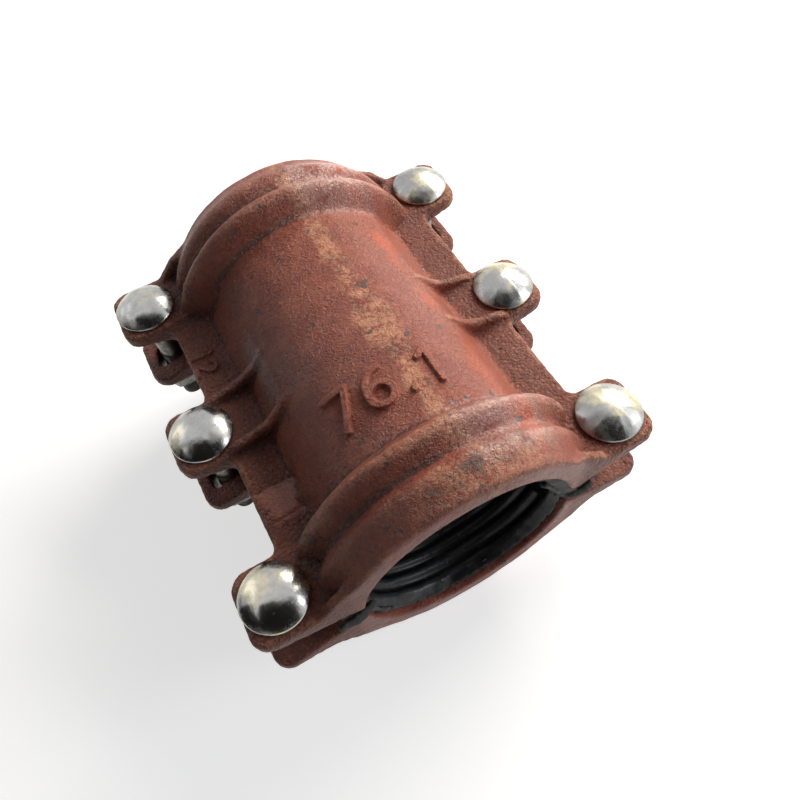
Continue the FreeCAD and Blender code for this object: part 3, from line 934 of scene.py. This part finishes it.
def ring_mesh(name, rings):
    """Closed mesh through a list of rings of equal length."""
    work = bmesh.new()
    rows = [[work.verts.new(p) for p in ring] for ring in rings]
    for low, high in zip(rows, rows[1:]):
        for i in range(len(low)):
            j = (i + 1) % len(low)
            work.faces.new((low[i], low[j], high[j], high[i]))
    for row in (rows[0], rows[-1]):
        centre = work.verts.new(sum((v.co for v in row), Vector()) / len(row))
        for i in range(len(row)):
            work.faces.new((row[i], row[(i + 1) % len(row)], centre))
    bmesh.ops.recalc_face_normals(work, faces=work.faces)
    mesh = bpy.data.meshes.new(name)
    work.to_mesh(mesh)
    work.free()
    shade_smooth(mesh)
    return mesh


def circle(radius, z, count):
    turns = [2 * math.pi * i / count for i in range(count)]
    return [(radius * math.cos(turn), radius * math.sin(turn), z) for turn in turns]


def head_dent(direction, turn, radius, seed, facet):
    """How far the dome is hammered in at a point: shallow flats round it, and dents; none at its rim."""
    if radius >= HEAD_RADIUS:
        return 0.0
    out = radius / HEAD_RADIUS
    place = direction * radius * DENT_SCALE + Vector((seed * 3.1, seed * 5.7, seed))
    ridge = abs(math.sin(turn * HEAD_FACETS / 2 + seed + noise.noise(place * 0.3) * 1.5))
    flat = ridge * facet * min(1, out * 1.4) ** 2
    dent = noise.noise(place) * DENT_DEPTH + noise.noise(place * 2.6) * FINE_DENT_DEPTH - flat
    return dent * math.sin(math.pi * out) ** 0.7


def head_rings(seed, facet):
    """Underside, rim and dome of a forged head."""
    sphere = (HEAD_RADIUS ** 2 + HEAD_DOME ** 2) / (2 * HEAD_DOME)
    top = HEAD_RIM + HEAD_DOME
    widest = math.asin(HEAD_RADIUS / sphere)
    rings = [circle(r * MM, z * MM, HEAD_SEGMENTS) for r, z in RIM_PROFILE]
    for k in range(HEAD_STEPS):
        angle = widest * (1 - k / HEAD_STEPS)
        radius, z = sphere * math.sin(angle), top - sphere * (1 - math.cos(angle))
        ring = []
        for i in range(HEAD_SEGMENTS):
            turn = 2 * math.pi * i / HEAD_SEGMENTS
            direction = Vector((math.cos(turn), math.sin(turn), 0))
            dent = head_dent(direction, turn, radius, seed, facet)
            ring.append((direction.x * radius, direction.y * radius, z + dent))
        rings.append(ring)
    return rings


def neck_rings():
    """Square neck with round corners."""
    from_centre = NECK_SIDE / 2 - NECK_ROUND
    outline = []
    for quarter in range(4):
        turn = quarter * math.pi / 2
        for i in range(NECK_CORNER_STEPS + 1):
            a = i / NECK_CORNER_STEPS * math.pi / 2
            x = from_centre + math.cos(a) * NECK_ROUND
            y = from_centre + math.sin(a) * NECK_ROUND
            outline.append((
                x * math.cos(turn) - y * math.sin(turn),
                x * math.sin(turn) + y * math.cos(turn)))
    levels = ((0.0, 1.0), (-NECK_LENGTH + NECK_TAPER, 1.0), (-NECK_LENGTH, NECK_END_SHARE))
    return [[(x * share, y * share, z) for x, y in outline] for z, share in levels]


def shank_rings():
    """Round shank and a single-start thread down to a chamfered tip."""
    start = -(BOLT_LENGTH - THREAD_LENGTH)
    plain = (-NECK_LENGTH + 0.2 * MM, start + 0.6 * MM)
    rings = [circle(SHANK_RADIUS * PLAIN_SHARE, z, SHANK_SEGMENTS) for z in plain]
    z = start
    while z > -BOLT_LENGTH:
        to_tip = z + BOLT_LENGTH
        fade = min(1, (start - z) / THREAD_PITCH)
        limit = SHANK_RADIUS - max(0, TIP_CHAMFER - to_tip)
        ring = []
        for i in range(SHANK_SEGMENTS):
            phase = (z / THREAD_PITCH + i / SHANK_SEGMENTS) % 1
            cut = min(1, max(0, abs(phase - 0.5) * THREAD_FLANK - THREAD_CREST))
            depth = THREAD_DEPTH * cut * fade
            radius = min(limit, SHANK_RADIUS - depth)
            turn = 2 * math.pi * i / SHANK_SEGMENTS
            ring.append((radius * math.cos(turn), radius * math.sin(turn), z))
        rings.append(ring)
        z -= THREAD_PITCH / RINGS_PER_PITCH
    rings.append(circle(SHANK_RADIUS - TIP_CHAMFER, -BOLT_LENGTH, SHANK_SEGMENTS))
    return rings


def bolt(node, material, seed, facet):
    low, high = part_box(node)
    place = ((low[0] + high[0]) / 2, (low[1] + high[1]) / 2, LUG_TOP)
    work = bmesh.new()
    for part in (head_rings(seed, facet), neck_rings(), shank_rings()):
        piece = ring_mesh("piece", part)
        work.from_mesh(piece)
        bpy.data.meshes.remove(piece)
    bmesh.ops.translate(work, vec=place, verts=work.verts)
    mesh = bpy.data.meshes.new(node + "_look")
    work.to_mesh(mesh)
    work.free()
    mesh.materials.append(material)
    obj = linked("forged_" + node, mesh)
    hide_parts(node)
    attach(obj, "upper_half")


# Light and floor

def area_light(name, direction, distance, size, energy, colour):
    data = bpy.data.lights.new(name, "AREA")
    data.shape = "RECTANGLE"
    data.size, data.size_y = size
    data.energy = energy
    data.color = colour
    obj = linked(name, data)
    direction = Vector(direction).normalized()
    obj.location = direction * distance
    obj.rotation_euler = direction.to_track_quat("Z", "Y").to_euler()


def seen_directly(tree):
    """1 for what the camera, gloss or clear matter shows, 0 for what sheds light on the object."""
    path = tree.nodes.new("ShaderNodeLightPath")
    result = path.outputs["Is Camera Ray"]
    for kind in ("Is Glossy Ray", "Is Transmission Ray"):
        either = tree.nodes.new("ShaderNodeMath")
        either.operation = "MAXIMUM"
        tree.links.new(result, either.inputs[0])
        tree.links.new(path.outputs[kind], either.inputs[1])
        result = either.outputs["Value"]
    return result


def add_world():
    """Pale all round for the camera and for gloss, softer for what it sheds on the object."""
    world = bpy.data.worlds.new("studio")
    scene.world = world
    world.use_nodes = True
    tree = world.node_tree
    back = tree.nodes["Background"]
    back.inputs["Color"].default_value = (1.0, 1.0, 1.0, 1)
    strength = tree.nodes.new("ShaderNodeMapRange")
    tree.links.new(seen_directly(tree), strength.inputs["Value"])
    strength.inputs["To Min"].default_value = WORLD_ON_OBJECT
    strength.inputs["To Max"].default_value = WORLD_SEEN
    tree.links.new(strength.outputs["Result"], back.inputs["Strength"])


def plane(name, size, place, facing, material):
    """Flat rectangle with its face towards a direction."""
    mesh = bpy.data.meshes.new(name)
    a, b = size[0] / 2, size[1] / 2
    mesh.from_pydata([(-a, -b, 0), (a, -b, 0), (a, b, 0), (-a, b, 0)], [], [(0, 1, 2, 3)])
    mesh.materials.append(material)
    obj = linked(name, mesh)
    obj.location = place
    obj.rotation_euler = Vector(facing).to_track_quat("Z", "Y").to_euler()
    return obj


def floor_material():
    """White floor: the light on it is shared with its own glow, so that it is white and keeps a shadow."""
    n = Nodes("floor")
    n.done((FLOOR_GREY, FLOOR_GREY, FLOOR_GREY), FLOOR_ROUGHNESS)
    n.shader.inputs["Emission Color"].default_value = (1, 1, 1, 1)
    n.link(n.times(seen_directly(n.tree), FLOOR_GLOW), n.shader.inputs["Emission Strength"])
    n.shader.inputs["Specular IOR Level"].default_value = 0.0
    return n.material


def card_material():
    """Black card that fades out towards its edges, so that gloss shows it with a soft border."""
    n = Nodes("black_card")
    n.shader.inputs["Specular IOR Level"].default_value = 0.0
    n.done(CARD_BLACK, 1.0)
    across, along, _ = n.parts(n.add("ShaderNodeTexCoord").outputs["Generated"])
    solid = n.times(n.near(across, 0.5, 0.5, 0.30), n.near(along, 0.5, 0.5, 0.30))
    clear = n.add("ShaderNodeBsdfTransparent")
    faded = n.add("ShaderNodeMixShader")
    n.link(solid, faded.inputs["Fac"])
    n.link(clear.outputs["BSDF"], faded.inputs[1])
    n.link(n.shader.outputs["BSDF"], faded.inputs[2])
    n.link(faded.outputs["Shader"], n.tree.nodes["Material Output"].inputs["Surface"])
    return n.material


def studio():
    add_world()
    lowest = cad_box[0][2]
    place = (0, 0, lowest - FLOOR_GAP)
    floor = plane("floor", (FLOOR_SIZE, FLOOR_SIZE), place, (0, 0, 1), floor_material())
    floor.visible_shadow = False
    card = card_material()
    for name, size, place in CARDS:
        sheet = plane(name, size, place, Vector(place) * -1, card)
        sheet.visible_camera = False
        sheet.visible_shadow = False
        sheet.visible_diffuse = False
    for lamp in LAMPS:
        area_light(*lamp)


# The model dressed

add_camera()
studio()
primer = Primer().finished()
for node, body, side in (("upper_shell", "upper_half", 1), ("lower_shell", "lower_half", -1)):
    dress(casting(node, body, side), primer)
black = rubber()
for node, body, side in (("upper_gasket", "upper_half", 1), ("lower_gasket", "lower_half", -1)):
    dress(lining(node, body, side), black)
crumbled = torn_rubber()
for torn in TORN_RUBBER:
    dress(torn_piece(torn), crumbled)
bolt_zinc = zinc("bright_zinc", ZINC_BRIGHT)
satin_zinc = zinc("satin_zinc", ZINC_SATIN, blotch=0.75, satin=0.09)
nut_zinc = zinc("nut_zinc", ZINC_NUT, blotch=0.9)
for index, (name, node) in enumerate(sorted(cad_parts.items())):
    if name.startswith("carriage_bolt"):
        if name.endswith("right"):
            bolt(name, satin_zinc, index, HEAD_FACET_RIGHT)
        else:
            bolt(name, bolt_zinc, index, HEAD_FACET_LEFT)
    elif name.startswith(("washer", "hex_nut")):
        for slot in node.material_slots:
            slot.material = nut_zinc
